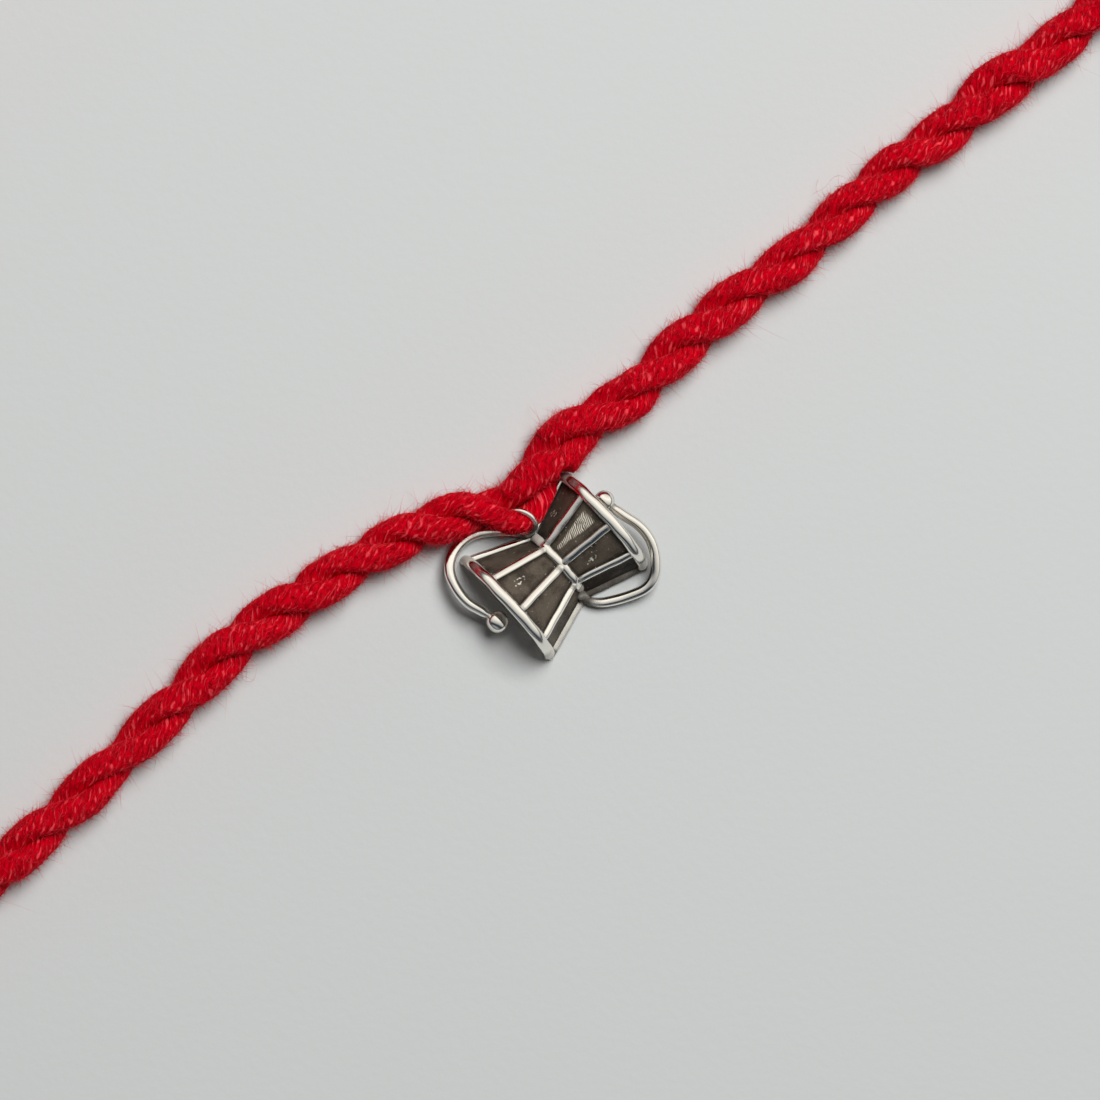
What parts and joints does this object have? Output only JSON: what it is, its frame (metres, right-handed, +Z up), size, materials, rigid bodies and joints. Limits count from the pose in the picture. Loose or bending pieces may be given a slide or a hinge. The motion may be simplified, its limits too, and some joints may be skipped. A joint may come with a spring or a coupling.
{
  "type": "rakhi thread bracelet",
  "caption": "Wrist thread of two twisted strands tied in a loop, with a small half-round silver hourglass drum charm soldered to a jump ring round one strand.",
  "frame": {"origin": "on the surface, under the middle of the drum charm's box", "axes": "+Z up from the drum's flat back, +X to the right in a view from above, the drum's axis 41.7 degrees above +X"},
  "size_m": [0.124, 0.1054, 0.0057],
  "materials": {
    "silver": "oxidised silver with polished wires",
    "red_yarn": "matt twisted yarn"
  },
  "bodies": {
    "root": {"damru_charm": "silver", "tie_knot": "red_yarn", "thread_far_left": "red_yarn", "thread_left_turn": "red_yarn", "thread_front_left": "red_yarn", "thread_at_charm": "red_yarn", "thread_front_right": "red_yarn", "thread_right_turn": "red_yarn", "thread_far_right": "red_yarn"}
  },
  "joints": []
}
